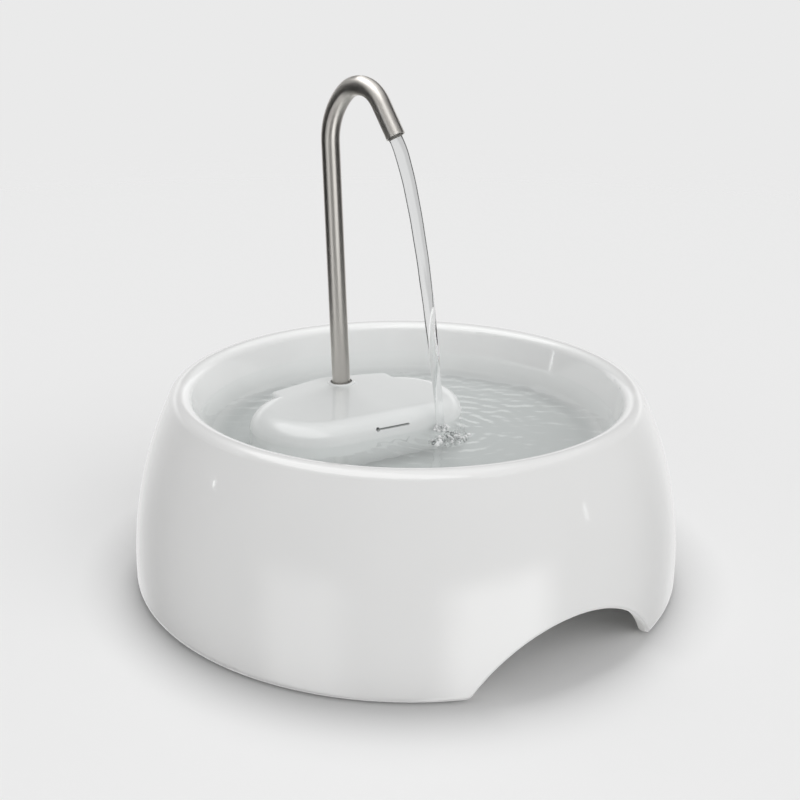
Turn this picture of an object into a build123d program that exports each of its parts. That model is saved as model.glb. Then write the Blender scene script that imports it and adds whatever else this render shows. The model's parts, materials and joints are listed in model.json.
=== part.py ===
from build123d import *
import os
from math import asin, cos, degrees, radians, sin, sqrt, tan

# A pet water fountain, in millimetres. Z is up, the floor is z = 0 and the Z axis is the bowl's
# own axis. The pet drinks from the side that faces -Y.

# ---- driving dimensions -------------------------------------------------------------------------

# Bowl: one ceramic casting, a basin inside a flared skirt that is open underneath.
BOWL_RADIUS = 135.0  # widest, just above the foot
BOWL_HEIGHT = 95.0
BELLY_Z = 8.0  # height where the skirt is widest
SIDE_RADIUS = 187.0  # arc of the skirt in section
LIP_RADIUS = 5.75  # full round at the rim
SKIRT_WALL = 7.0
BASIN_WALL = 7.0
BASIN_FLOOR_Z = 51.0
BASIN_SLOPE = 15.5  # lean of the basin's wall from upright
BASIN_CORNER = 13.0
FLOOR_THICKNESS = 7.0
CAVITY_TOP_Z = 72.0  # top of the gap between the basin and the skirt
CAVITY_FLAT = 0.4  # flat left between the two rounds at the top of that gap
FOOT_ROUND = 4.5
FOOT_INNER_ROUND = 1.5
ARCH_WIDTH = 101.0  # grip arch, measured at the floor
ARCH_HEIGHT = 29.9
ARCH_BEARING = 33.7  # from -Y towards +X
ARCH_COUNT = 2
ARCH_EDGE_ROUND = 1.5

# Hood over the pump. It has its own frame: x along its length, y towards its gabled rear.
HOOD_X = -24.1
HOOD_Y = -5.75
HOOD_TURN = 30.9
HOOD_HEIGHT = 37.0
HOOD_RADIUS = 31.0
HOOD_SPAN = 46.8  # between the centres of its two round ends
HOOD_WALL = 2.4
HOOD_EDGE_ROUND = 10.5
HOOD_DRAFT = 0.5
GABLE_HALF_WIDTH = 32.5
GABLE_EAVE_Y = 30.0
GABLE_RIDGE_Y = 39.0
GABLE_EDGE_ROUND = 1.6
GABLE_RIDGE_ROUND = 8.0
GABLE_EAVE_ROUND = 2.5
SLOT_LENGTH = 17.0
SLOT_HEIGHT = 0.9
SLOT_X = 3.2
SLOT_DROP = 5.3  # slot below the hood's top
SLOT_EYE_RADIUS = 1.0  # round hole at the slot's left end
NOTCH_COUNT = 4  # water inlets at the foot of each gable wall
NOTCH_WIDTH = 3.6
NOTCH_HEIGHT = 7.0
NOTCH_PITCH = 6.6
RIB_WIDTH = 1.6
RIB_DEPTH = 3.0
RIB_X = 14.0
RIB_FOOT = 6.0  # height of the ribs' feet above the basin floor
PORT_GAP = 1.0  # free gap round the spout in the hood's port
PORT_COLLAR_WALL = 1.5
PORT_COLLAR_HEIGHT = 0.8

# Spout: steel tube, leaning a little in its soft connector.
TUBE_RADIUS = 4.5
TUBE_WALL = 0.6
TUBE_LEAN = 2.06
TUBE_HEADING = -37.9  # direction of the spout's mouth, from +X towards +Y
TUBE_STRAIGHT = 127.7
TUBE_BENDS = ((31.7, 48.1), (13.2, 85.4), (17.5, 16.8))  # radius and turn of each arc
TUBE_MOUTH = 16.3  # straight run at the mouth
TUBE_SOCKET = 5.0  # length of tube held in the connector
NOZZLE_GAP = 0.5  # between the tube's foot and the nozzle
SPOUT_X = 4.7  # spout's foot, in the hood's frame
SPOUT_Y = 25.6

# Connector
CONNECTOR_WALL = 1.5
CONNECTOR_HEADROOM = 0.7  # connector below the hood's roof
CONNECTOR_SEAT = 0.3  # gap between the connector and the spiral wall
CONNECTOR_BEAD = 1.8  # height of the thicker ring at the middle
CONNECTOR_BEAD_WALL = 0.7  # how far that ring stands out
CONNECTOR_RELIEF = 0.4  # depth of the groove inside, where the bore bends
SOFT_FIT = 0.05  # play drawn between a soft piece and what it grips

# Pump, in the hood's frame. The rotor's axis lies along x.
CUP_HEIGHT = 3.0
CUP_RADIUS = 4.6
CUP_LIP = 1.25  # width of the flat lip
CUP_HOLLOW = 0.7  # depth of the hollow under the cup
CUP_NECK_Z = 1.8  # height where the cup meets its neck
CUP_NECK = 2.0
CUP_STUD = 1.3
CUP_STUD_LENGTH = 1.4
CUP_INSET_X = 9.0
CUP_INSET_Y = 5.2
MOTOR_LENGTH = 29.5
MOTOR_WIDTH = 25.0
MOTOR_HEIGHT = 23.0
MOTOR_CORNER = 5.0
MOTOR_WALL = 1.2
WELL_RADIUS = 5.1
WELL_WALL = 0.8
WELL_DEPTH = 23.6
CAP_RECESS = 0.4
STATOR_LENGTH = 13.0
STATOR_FIT = 0.2  # gap between the ring and the motor's wall
STATOR_YOKE = 1.6
TOOTH_COUNT = 4
TOOTH_WIDTH = 2.6
COIL_THICKNESS = 1.2
COIL_GAP = 0.15
SHOE_DEPTH = 0.6
SHOE_ANGLE = 60.0
BOARD_THICKNESS = 1.2
BOARD_FIT = 0.15
GLAND_STEM = 2.6
GLAND_FLANGE = 3.6
GLAND_FLANGE_LENGTH = 1.2
GLAND_NOSE = 2.4
GLAND_LENGTH = 6.0
GLAND_BORE = 1.8
GLAND_UP = 4.5  # gland from the rotor's axis
GLAND_BACK = 4.8

NOZZLE_OFFSET = 10.8  # outlet nozzle from the rotor's axis
NOZZLE_RADIUS = 4.2
NOZZLE_BORE = 3.0
VOLUTE_START = 9.6  # radius of the spiral where it starts
VOLUTE_STEP = 0.9  # growth at each quarter
VOLUTE_WALL = 1.2
VOLUTE_LENGTH = 12.0
EYE_RADIUS = 5.4
EYE_HUB = 2.6
WINDOW_COUNT = 3
WINDOW_INNER = 3.0
WINDOW_OUTER = 5.0
WINDOW_ANGLE = 52.0
NOSE_RADIUS = 7.2
NOSE_LENGTH = 3.0
FRONT_WALL = 1.4
SEAL_THICKNESS = 0.6

SHAFT_RADIUS = 1.0
SHAFT_PLAY = 0.05
BUSH_RADIUS = 1.7
BUSH_LENGTH = 1.6
MAGNET_RADIUS = 4.6
MAGNET_LENGTH = 22.0
END_PLAY = 0.3
IMPELLER_RADIUS = 8.2
IMPELLER_DISC = 1.2
BLADE_COUNT = 6
BLADE_HEIGHT = 6.0
BLADE_THICKNESS = 0.9
BLADE_SWEEP = 38.0
BLADE_CURVE = 0.32  # share of the sweep that is reached halfway out
BLADE_ROOT = 0.4  # depth of each blade's root in the hub
IMPELLER_HUB = 2.8

DIAL_PLAY = 0.05
DIAL_WALL = 1.2
DIAL_FACE = 1.2
DIAL_TURN = 60.0
LEVER_REACH = 12.3
LEVER_WIDTH = 2.4
LEVER_THICKNESS = 1.4
LEVER_ROUND = 0.95
LEVER_BEARING = 120.0  # with the windows open, from the hood's rear towards up
LEVER_GAP = 0.4

GRILLE_RADIUS = 10.4
GRILLE_WALL = 1.2
GRILLE_LENGTH = 8.4
GRILLE_SLOTS = 5
GRILLE_SLOT = 1.6
GRILLE_PITCH = 3.2

FOAM_RADIUS = 12.8
FOAM_LENGTH = 13.0
FOAM_OVERLAP = 5.0
FOAM_FIT = 0.2
FOAM_EDGE = 0.8

CARTRIDGE_X = 35.0
CARTRIDGE_DEPTH = 11.0
CARTRIDGE_WIDTH = 34.0
LID_HEADROOM = 1.6  # lid's tab below the hood's roof
CARTRIDGE_WALL = 1.5
LATTICE_COLUMNS = 4
LATTICE_ROWS = 3
LATTICE_BAR = 1.4
PAD_FIT = 0.3
PAD_ROUND = 0.9
LID_THICKNESS = 1.6
LID_TAB = 9.0
LID_TAB_HEIGHT = 2.4
LID_TAB_ROUND = 1.2

# ---- worked out from the driving dimensions -----------------------------------------------------

LIP_Z = BOWL_HEIGHT - LIP_RADIUS
UNDER_Z = BASIN_FLOOR_Z - FLOOR_THICKNESS
HOOD_TOP_Z = BASIN_FLOOR_Z + HOOD_HEIGHT
ROOF_Z = HOOD_TOP_Z - HOOD_WALL  # inside of the hood's top
PUMP_Z = BASIN_FLOOR_Z + CUP_HEIGHT  # underside of the motor
ROTOR_Y = SPOUT_Y - NOZZLE_OFFSET
ROTOR_Z = PUMP_Z + MOTOR_HEIGHT / 2
HEAD_X = SPOUT_X - VOLUTE_LENGTH / 2  # joint face of the motor and its head
NOSE_X = HEAD_X + VOLUTE_LENGTH
MOTOR_X = HEAD_X - MOTOR_LENGTH  # far end of the motor
EYE_FACE_X = NOSE_X + NOSE_LENGTH
WELL_END_X = HEAD_X - WELL_DEPTH
BACK_BUSH_X = WELL_END_X
MAGNET_X = BACK_BUSH_X + BUSH_LENGTH + END_PLAY
IMPELLER_X = MAGNET_X + MAGNET_LENGTH
IMPELLER_END_X = IMPELLER_X + IMPELLER_DISC + BLADE_HEIGHT
FRONT_BUSH_X = IMPELLER_END_X + END_PLAY
DIAL_X = NOSE_X + END_PLAY
STATOR_X = MAGNET_X + (MAGNET_LENGTH - STATOR_LENGTH) / 2
BOARD_X = WELL_END_X - WELL_WALL - BOARD_THICKNESS
TUBE_FOOT_Z = ROOF_Z - CONNECTOR_HEADROOM - TUBE_SOCKET
NOZZLE_TOP_Z = TUBE_FOOT_Z - NOZZLE_GAP
CONNECTOR_DEPTH = NOZZLE_TOP_Z - CONNECTOR_SEAT - ROTOR_Z - VOLUTE_START - VOLUTE_WALL
STATOR_OUTER = min(MOTOR_WIDTH, MOTOR_HEIGHT) / 2 - MOTOR_WALL - STATOR_FIT
CARTRIDGE_HEIGHT = ROOF_Z - LID_HEADROOM - LID_TAB_HEIGHT - LID_THICKNESS - BASIN_FLOOR_Z
PORT_RADIUS = TUBE_RADIUS + PORT_GAP

HOOD_FRAME = Location((HOOD_X, HOOD_Y, 0), (0, 0, HOOD_TURN))
SPOUT_FRAME = HOOD_FRAME * Location((SPOUT_X, SPOUT_Y, TUBE_FOOT_Z))
TUBE_AXIS = Vector(0, 0, 1).rotate(Axis.Y, -TUBE_LEAN)
HEADING = Vector(1, 0, 0).rotate(Axis.Z, TUBE_HEADING)
TUBE_FRAME = Location(Plane(
    origin=SPOUT_FRAME.position,
    x_dir=HEADING - TUBE_AXIS * HEADING.dot(TUBE_AXIS),
    z_dir=TUBE_AXIS,
))
ROTOR_FRAME = HOOD_FRAME * Location((0, ROTOR_Y, ROTOR_Z)) * Location(Plane.YZ)


# Pieces on the rotor's axis are drawn in the rotor's frame, where x points to the hood's rear, y
# points up and z is the hood's x. ROTOR_FRAME then places them.

def slab(outline, length, start):
    """A flat outline made solid along the rotor's axis from start on."""
    return Pos(0, 0, start) * extrude(outline, length)


def rod(radius, length, start):
    return slab(Circle(radius), length, start)


def pipe(outer, inner, length, start):
    return slab(Circle(outer) - Circle(inner), length, start)


# ---- bowl ---------------------------------------------------------------------------------------

def skirt_radius(z, inset=0.0):
    """Radius of the skirt's outer arc at height z, or of a parallel arc inside it."""
    arc = SIDE_RADIUS - inset
    return BOWL_RADIUS - SIDE_RADIUS + sqrt(arc**2 - (z - BELLY_Z) ** 2)


def basin_radius(z):
    """Radius of the basin's wall at height z. The wall runs straight on from the lip's round."""
    slope = radians(BASIN_SLOPE)
    return skirt_radius(LIP_Z, LIP_RADIUS) - LIP_RADIUS / cos(slope) - (LIP_Z - z) * tan(slope)


def bowl_section():
    """Half section of the bowl in the XZ plane."""
    # the lip is a round that touches the skirt's arc on one side and the basin's wall on the other
    lip_r = skirt_radius(LIP_Z, LIP_RADIUS)
    outer_turn = asin((LIP_Z - BELLY_Z) / (SIDE_RADIUS - LIP_RADIUS))
    inner_turn = radians(BASIN_SLOPE)
    lip_out = (lip_r + LIP_RADIUS * cos(outer_turn), LIP_Z + LIP_RADIUS * sin(outer_turn))
    lip_in = (lip_r - LIP_RADIUS * cos(inner_turn), LIP_Z + LIP_RADIUS * sin(inner_turn))
    mid_z = (BELLY_Z + LIP_Z) / 2
    outside = Polyline((skirt_radius(BELLY_Z, SKIRT_WALL), 0), (BOWL_RADIUS, 0), (BOWL_RADIUS, BELLY_Z))
    side = ThreePointArc(outside @ 1, (skirt_radius(mid_z), mid_z), lip_out)
    lip = ThreePointArc(lip_out, (lip_r, BOWL_HEIGHT), lip_in)
    floor_r = basin_radius(BASIN_FLOOR_Z)
    cavity_basin = basin_radius(CAVITY_TOP_Z) + BASIN_WALL
    cavity_skirt = skirt_radius(CAVITY_TOP_Z, SKIRT_WALL)
    under_r = basin_radius(UNDER_Z) + BASIN_WALL
    inside = Polyline(
        lip_in,
        (floor_r, BASIN_FLOOR_Z),
        (0, BASIN_FLOOR_Z),
        (0, UNDER_Z),
        (under_r, UNDER_Z),
        (cavity_basin, CAVITY_TOP_Z),
        (cavity_skirt, CAVITY_TOP_Z),
    )
    low_mid = (BELLY_Z + CAVITY_TOP_Z) / 2
    skirt_in = ThreePointArc(
        inside @ 1,
        (skirt_radius(low_mid, SKIRT_WALL), low_mid),
        (skirt_radius(BELLY_Z, SKIRT_WALL), BELLY_Z),
    )
    close = Line(skirt_in @ 1, outside @ 0)
    section = make_face(outside + side + lip + inside + skirt_in + close)
    gap = (cavity_skirt - cavity_basin - CAVITY_FLAT) / 2
    rounds = (
        ((BOWL_RADIUS, 0), FOOT_ROUND),
        ((skirt_radius(BELLY_Z, SKIRT_WALL), 0), FOOT_INNER_ROUND),
        ((floor_r, BASIN_FLOOR_Z), BASIN_CORNER),
        ((under_r, UNDER_Z), BASIN_CORNER / 2),
        ((cavity_basin, CAVITY_TOP_Z), gap),
        ((cavity_skirt, CAVITY_TOP_Z), gap),
    )
    for point, radius in rounds:
        corner = section.vertices().sort_by_distance((*point, 0))[0]
        section = fillet(corner, radius)
    return section


def grip_arch():
    """Solid that cuts one grip arch, pointing along -Y."""
    radius = ((ARCH_WIDTH / 2) ** 2 + ARCH_HEIGHT**2) / (2 * ARCH_HEIGHT)
    disc = Pos(0, ARCH_HEIGHT - radius) * Circle(radius)
    reach = BOWL_RADIUS + SKIRT_WALL
    inner = basin_radius(BASIN_FLOOR_Z)
    return Pos(0, -inner / 2, 0) * (Plane.XZ * extrude(disc, reach - inner / 2))


def bowl():
    body = revolve(Plane.XZ * bowl_section(), Axis.Z)
    arches = [
        Rot(0, 0, ARCH_BEARING + 360 * i / ARCH_COUNT) * grip_arch() for i in range(ARCH_COUNT)
    ]
    for arch in arches:
        body -= arch
    crown = ARCH_HEIGHT
    edges = [
        e for e in body.edges()
        if e.bounding_box().max.Z < crown + ARCH_EDGE_ROUND and e.bounding_box().size.Z > crown / 2
    ]
    return fillet(edges, ARCH_EDGE_ROUND)


# ---- hood ---------------------------------------------------------------------------------------

def hood_block(inset):
    """Outer form of the hood, drawn in by inset on every side but the open foot."""
    top = HOOD_TOP_Z - inset
    height = top - BASIN_FLOOR_Z
    spread = height * tan(radians(HOOD_DRAFT))
    oblong = SlotCenterToCenter(HOOD_SPAN, 2 * (HOOD_RADIUS - inset + spread))
    body = Pos(0, 0, BASIN_FLOOR_Z) * extrude(oblong, height, taper=HOOD_DRAFT)
    body = fillet(body.faces().sort_by(Axis.Z)[-1].edges(), HOOD_EDGE_ROUND - inset)
    return body


def gable_outline(inset):
    half = GABLE_HALF_WIDTH - inset
    return make_face(Polyline(
        (-half, 0),
        (-half, GABLE_EAVE_Y - inset),
        (0, GABLE_RIDGE_Y - inset),
        (half, GABLE_EAVE_Y - inset),
        (half, 0),
        close=True,
    ))


def gable_block(inset):
    """The gabled shelf at the rear, coplanar with the hood's top."""
    top = HOOD_TOP_Z - inset
    block = Pos(0, 0, BASIN_FLOOR_Z) * extrude(gable_outline(inset), top - BASIN_FLOOR_Z)
    if inset:
        return block
    ridge = block.edges().filter_by(Axis.Z).sort_by(Axis.Y)[-1]
    block = fillet(ridge, GABLE_RIDGE_ROUND)
    eaves = block.edges().filter_by(Axis.Z).sort_by(Axis.Y)[2:4]
    block = fillet(eaves, GABLE_EAVE_ROUND)
    rim = block.faces().sort_by(Axis.Z)[-1].edges().sort_by(Axis.Y)[1:]
    return fillet(rim, GABLE_EDGE_ROUND)


def port_cut(radius, low, high):
    """Round bar along the leaning tube's axis, between two heights above the tube's foot."""
    return HOOD_FRAME.inverse() * TUBE_FRAME * Pos(0, 0, low) * extrude(Circle(radius), high - low)


def pump_cover():
    shell = hood_block(0) + gable_block(0)
    shell -= hood_block(HOOD_WALL) + gable_block(HOOD_WALL)
    # front slot
    front = HOOD_RADIUS
    slot = SlotOverall(SLOT_LENGTH, SLOT_HEIGHT) + Pos(-SLOT_LENGTH / 2, 0) * Circle(SLOT_EYE_RADIUS)
    slot = Pos(SLOT_X, -front, HOOD_TOP_Z - SLOT_DROP) * (Plane.XZ * slot)
    shell -= extrude(slot, HOOD_EDGE_ROUND, both=True)
    # inlets at the foot of the rear walls
    notch = Plane.XZ * SlotOverall(2 * NOTCH_HEIGHT, NOTCH_WIDTH, rotation=90)
    notch = extrude(notch, GABLE_RIDGE_Y - GABLE_EAVE_Y + HOOD_WALL, both=True)
    for i in range(NOTCH_COUNT):
        for side in (-1, 1):
            shell -= Pos(side * (i + 1) * NOTCH_PITCH, GABLE_RIDGE_Y - HOOD_WALL, BASIN_FLOOR_Z) * notch
    # stiffening ribs inside the front wall
    for side in (-1, 1):
        rib = Pos(side * RIB_X, HOOD_WALL / 2 - front, BASIN_FLOOR_Z + RIB_FOOT) * Box(
            RIB_WIDTH,
            RIB_DEPTH + HOOD_WALL,
            HOOD_HEIGHT - HOOD_EDGE_ROUND - RIB_FOOT,
            align=(Align.CENTER, Align.MIN, Align.MIN),
        )
        shell += rib
    above = HOOD_TOP_Z - TUBE_FOOT_Z
    collar = port_cut(PORT_RADIUS + PORT_COLLAR_WALL, above - HOOD_WALL / 2, above + PORT_COLLAR_HEIGHT)
    collar_top = collar.faces().sort_by(Axis.Z)[-1]
    shell += chamfer(collar_top.edges(), PORT_COLLAR_HEIGHT / 2)
    shell -= port_cut(PORT_RADIUS, 0, above + 2 * PORT_COLLAR_HEIGHT)
    return HOOD_FRAME * shell


# ---- spout and connector ------------------------------------------------------------------------

def spout_path():
    """Centre line of the spout in its own plane, x towards the mouth and y up the tube."""
    path = Line((0, 0), (0, TUBE_STRAIGHT))
    for radius, turn in TUBE_BENDS:
        path += JernArc(path @ 1, path % 1, radius, -turn)
    path += Line(path @ 1, path @ 1 + (path % 1) * TUBE_MOUTH)
    return path


def spout_tube():
    wire = Wire(spout_path().edges())
    ring = Plane.XZ * (Circle(TUBE_RADIUS) - Circle(TUBE_RADIUS - TUBE_WALL))
    return TUBE_FRAME * Location(Plane.XZ) * sweep(ring, path=wire)


def tube_connector():
    """Sleeve in two short runs, upright on the nozzle and leaning with the tube."""
    outer = NOZZLE_RADIUS + CONNECTOR_WALL
    low = Pos(0, 0, -NOZZLE_GAP - CONNECTOR_DEPTH)
    run = CONNECTOR_DEPTH + NOZZLE_GAP
    foot = low * extrude(Circle(outer), run)
    bore = low * extrude(Circle(NOZZLE_RADIUS + SOFT_FIT), CONNECTOR_DEPTH)
    lean = Rot(0, 0, -HOOD_TURN) * Rot(0, -TUBE_LEAN, 0)
    head = lean * extrude(Circle(outer), TUBE_SOCKET)
    socket = lean * extrude(Circle(TUBE_RADIUS + SOFT_FIT), TUBE_SOCKET)
    # a ring outside and a groove inside take up the wedge where the two runs meet
    bead = Cylinder(outer + CONNECTOR_BEAD_WALL, CONNECTOR_BEAD)
    bead = chamfer(bead.edges().filter_by(GeomType.CIRCLE), CONNECTOR_BEAD_WALL / 2)
    kink = outer * tan(radians(TUBE_LEAN))
    groove = Pos(0, 0, -NOZZLE_GAP) * extrude(
        Circle(TUBE_RADIUS + CONNECTOR_RELIEF), NOZZLE_GAP + kink
    )
    return SPOUT_FRAME * (foot + head + bead - bore - socket - groove)


# ---- pump head ----------------------------------------------------------------------------------

def volute_outline():
    """Spiral of three quarter arcs from the tongue, then straight up the outlet's outer wall."""
    r1 = VOLUTE_START
    r2 = r1 + VOLUTE_STEP
    r3 = r2 + VOLUTE_STEP
    s = VOLUTE_STEP
    q = cos(radians(45))
    first = ThreePointArc((0, r1), (-r1 * q, r1 * q), (-r1, 0))
    second = ThreePointArc((-r1, 0), (s - r2 * q, -r2 * q), (s, -r2))
    third = ThreePointArc((s, -r2), (s + r3 * q, s - r3 * q), (s + r3, s))
    top = Polyline((s + r3, s), (s + r3, r1), (0, r1))
    return make_face(first + second + third + top)


def sector(inner, outer, angle):
    """Part of a ring, centred on the x axis."""
    half = radians(angle / 2)
    a, b = (inner * cos(half), inner * sin(half)), (outer * cos(half), outer * sin(half))
    near = ThreePointArc((a[0], -a[1]), (inner, 0), a)
    far = ThreePointArc(b, (outer, 0), (b[0], -b[1]))
    return make_face(near + Line(a, b) + far + Line((b[0], -b[1]), (a[0], -a[1])))


def eye_windows():
    """Openings of the intake eye, the same in the pump head and in the dial."""
    pattern = Sketch()
    for i in range(WINDOW_COUNT):
        pattern += Rot(0, 0, 360 * i / WINDOW_COUNT) * sector(WINDOW_INNER, WINDOW_OUTER, WINDOW_ANGLE)
    return pattern


def head_seal():
    """Flat gasket that follows the spiral wall of the head."""
    chamber = volute_outline()
    return ROTOR_FRAME * slab(offset(chamber, VOLUTE_WALL) - chamber, SEAL_THICKNESS, HEAD_X)


def pump_head():
    chamber = volute_outline()
    start = HEAD_X + SEAL_THICKNESS
    length = NOSE_X - start
    rise = NOZZLE_TOP_Z - ROTOR_Z
    outlet = Pos(NOZZLE_OFFSET, 0, SPOUT_X) * Rot(-90, 0, 0)
    body = slab(offset(chamber, VOLUTE_WALL), length, start)
    body += outlet * extrude(Circle(NOZZLE_RADIUS), rise)
    body += rod(NOSE_RADIUS, NOSE_LENGTH, NOSE_X)
    body -= slab(chamber, length - FRONT_WALL, start)
    body -= outlet * extrude(Circle(NOZZLE_BORE), rise)
    # intake eye with its windows, and the hub that holds the front bush
    body -= rod(EYE_RADIUS, NOSE_LENGTH, NOSE_X - FRONT_WALL)
    body -= slab(eye_windows(), FRONT_WALL, EYE_FACE_X - FRONT_WALL)
    body += rod(EYE_HUB, EYE_FACE_X - FRONT_BUSH_X, FRONT_BUSH_X)
    body -= rod(BUSH_RADIUS, BUSH_LENGTH, FRONT_BUSH_X)
    return ROTOR_FRAME * body


# ---- rotor --------------------------------------------------------------------------------------

def blade():
    """One swept blade, its root on the hub and its tip at the disc's edge."""
    tip = radians(-BLADE_SWEEP)
    mid_r = (IMPELLER_HUB + IMPELLER_RADIUS) / 2
    mid = radians(-BLADE_SWEEP * BLADE_CURVE)
    line = ThreePointArc(
        (IMPELLER_HUB - BLADE_ROOT, 0),
        (mid_r * cos(mid), mid_r * sin(mid)),
        (IMPELLER_RADIUS * cos(tip), IMPELLER_RADIUS * sin(tip)),
    )
    return trace(line, BLADE_THICKNESS)


def impeller():
    disc = rod(IMPELLER_RADIUS, IMPELLER_DISC, IMPELLER_X)
    outline = Circle(IMPELLER_HUB)
    for i in range(BLADE_COUNT):
        outline += Rot(0, 0, 360 * i / BLADE_COUNT) * blade()
    outline = outline & Circle(IMPELLER_RADIUS)
    wheel = disc + slab(outline, BLADE_HEIGHT, IMPELLER_X + IMPELLER_DISC)
    length = IMPELLER_DISC + BLADE_HEIGHT
    return ROTOR_FRAME * (wheel - rod(SHAFT_RADIUS + SHAFT_PLAY, length, IMPELLER_X))


def rotor_magnet():
    return ROTOR_FRAME * pipe(MAGNET_RADIUS, SHAFT_RADIUS + SHAFT_PLAY, MAGNET_LENGTH, MAGNET_X)


def rotor_shaft():
    return ROTOR_FRAME * rod(SHAFT_RADIUS, FRONT_BUSH_X + BUSH_LENGTH - BACK_BUSH_X, BACK_BUSH_X)


def shaft_bushes():
    starts = (BACK_BUSH_X, FRONT_BUSH_X)
    return Compound(children=[
        ROTOR_FRAME * pipe(BUSH_RADIUS, SHAFT_RADIUS + SOFT_FIT, BUSH_LENGTH, start) for start in starts
    ])


# ---- motor --------------------------------------------------------------------------------------

def motor_outline(inset=0.0):
    return RectangleRounded(MOTOR_WIDTH - 2 * inset, MOTOR_HEIGHT - 2 * inset, MOTOR_CORNER - inset)


def cup_places():
    """Centres of the suction cups in the hood's frame."""
    xs = (MOTOR_X + CUP_INSET_X, HEAD_X - CUP_INSET_X)
    ys = (ROTOR_Y - MOTOR_WIDTH / 2 + CUP_INSET_Y, ROTOR_Y + MOTOR_WIDTH / 2 - CUP_INSET_Y)
    return [(x, y) for x in xs for y in ys]


def pump_housing():
    body = slab(motor_outline(), MOTOR_LENGTH, MOTOR_X)
    body -= slab(motor_outline(MOTOR_WALL), MOTOR_LENGTH - MOTOR_WALL, MOTOR_X)
    body += rod(WELL_RADIUS + WELL_WALL, WELL_DEPTH + WELL_WALL, WELL_END_X - WELL_WALL)
    body -= rod(WELL_RADIUS, WELL_DEPTH, WELL_END_X)
    body += pipe(BUSH_RADIUS + MOTOR_WALL, BUSH_RADIUS, BUSH_LENGTH, BACK_BUSH_X)
    for x, y in cup_places():
        place = Pos(y - ROTOR_Y, PUMP_Z - ROTOR_Z, x) * Rot(-90, 0, 0)
        depth = CUP_STUD_LENGTH + SOFT_FIT
        body += place * extrude(Circle(CUP_STUD + MOTOR_WALL), depth + MOTOR_WALL / 2)
        body -= place * extrude(Circle(CUP_STUD + SOFT_FIT), depth)
    return ROTOR_FRAME * body


def stator_core():
    """Laminated ring with teeth that end in shoes round the rotor well."""
    bore = WELL_RADIUS + WELL_WALL + SOFT_FIT
    outline = Circle(STATOR_OUTER) - Circle(STATOR_OUTER - STATOR_YOKE)
    tooth_end = STATOR_OUTER - STATOR_YOKE / 2
    for i in range(TOOTH_COUNT):
        tooth = Pos((bore + tooth_end) / 2, 0) * Rectangle(tooth_end - bore, TOOTH_WIDTH)
        tooth += sector(bore, bore + SHOE_DEPTH, SHOE_ANGLE)
        outline += Rot(0, 0, 360 * (i + 0.5) / TOOTH_COUNT) * tooth
    outline -= Circle(bore)
    return ROTOR_FRAME * slab(outline, STATOR_LENGTH, STATOR_X)


def stator_coils():
    """One winding on each tooth, between the shoe and the ring."""
    width = TOOTH_WIDTH + 2 * COIL_GAP
    length = STATOR_LENGTH + 2 * COIL_GAP
    ring = STATOR_OUTER - STATOR_YOKE - COIL_GAP
    low = WELL_RADIUS + WELL_WALL + SOFT_FIT + SHOE_DEPTH + COIL_GAP
    high = sqrt(ring**2 - (width / 2 + COIL_THICKNESS) ** 2)
    inner = Rectangle(width, length)
    outer = RectangleRounded(width + 2 * COIL_THICKNESS, length + 2 * COIL_THICKNESS, COIL_THICKNESS)
    coil = Location(Plane.YZ) * extrude(outer - inner, high - low)
    coil = Pos(low, 0, STATOR_X + STATOR_LENGTH / 2) * coil
    turns = [Rot(0, 0, 360 * (i + 0.5) / TOOTH_COUNT) for i in range(TOOTH_COUNT)]
    return Compound(children=[ROTOR_FRAME * turn * coil for turn in turns])


def control_board():
    return ROTOR_FRAME * slab(motor_outline(MOTOR_WALL + BOARD_FIT), BOARD_THICKNESS, BOARD_X)


GLAND_FRAME = Pos(GLAND_BACK, GLAND_UP, BOARD_X) * Rot(0, 180, 0)


def potting_cap():
    start = MOTOR_X + CAP_RECESS
    cap = slab(motor_outline(MOTOR_WALL + SOFT_FIT), BOARD_X - start, start)
    return ROTOR_FRAME * (cap - GLAND_FRAME * extrude(Circle(GLAND_STEM + SOFT_FIT), BOARD_X - start))


def cable_gland():
    """Rubber gland: a stem in the cap, a flange on it and a tapered nose."""
    depth = BOARD_X - MOTOR_X - CAP_RECESS
    end = depth + GLAND_FLANGE_LENGTH
    profile = Polyline(
        (GLAND_BORE, 0),
        (GLAND_STEM, 0),
        (GLAND_STEM, depth),
        (GLAND_FLANGE, depth),
        (GLAND_FLANGE, end),
        (GLAND_STEM, end),
        (GLAND_NOSE, depth + GLAND_LENGTH),
        (GLAND_BORE, depth + GLAND_LENGTH),
        close=True,
    )
    return ROTOR_FRAME * GLAND_FRAME * revolve(Plane.XZ * make_face(profile), Axis.Z)


def suction_cups():
    profile = Polyline(
        (0, CUP_HOLLOW),
        (CUP_RADIUS - CUP_LIP, 0),
        (CUP_RADIUS, 0),
        (CUP_NECK, CUP_NECK_Z),
        (CUP_NECK, CUP_HEIGHT),
        (CUP_STUD, CUP_HEIGHT),
        (CUP_STUD, CUP_HEIGHT + CUP_STUD_LENGTH),
        (0, CUP_HEIGHT + CUP_STUD_LENGTH),
        close=True,
    )
    cup = revolve(Plane.XZ * make_face(profile), Axis.Z)
    return Compound(children=[HOOD_FRAME * Pos(x, y, BASIN_FLOOR_Z) * cup for x, y in cup_places()])


# ---- intake -------------------------------------------------------------------------------------

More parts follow.
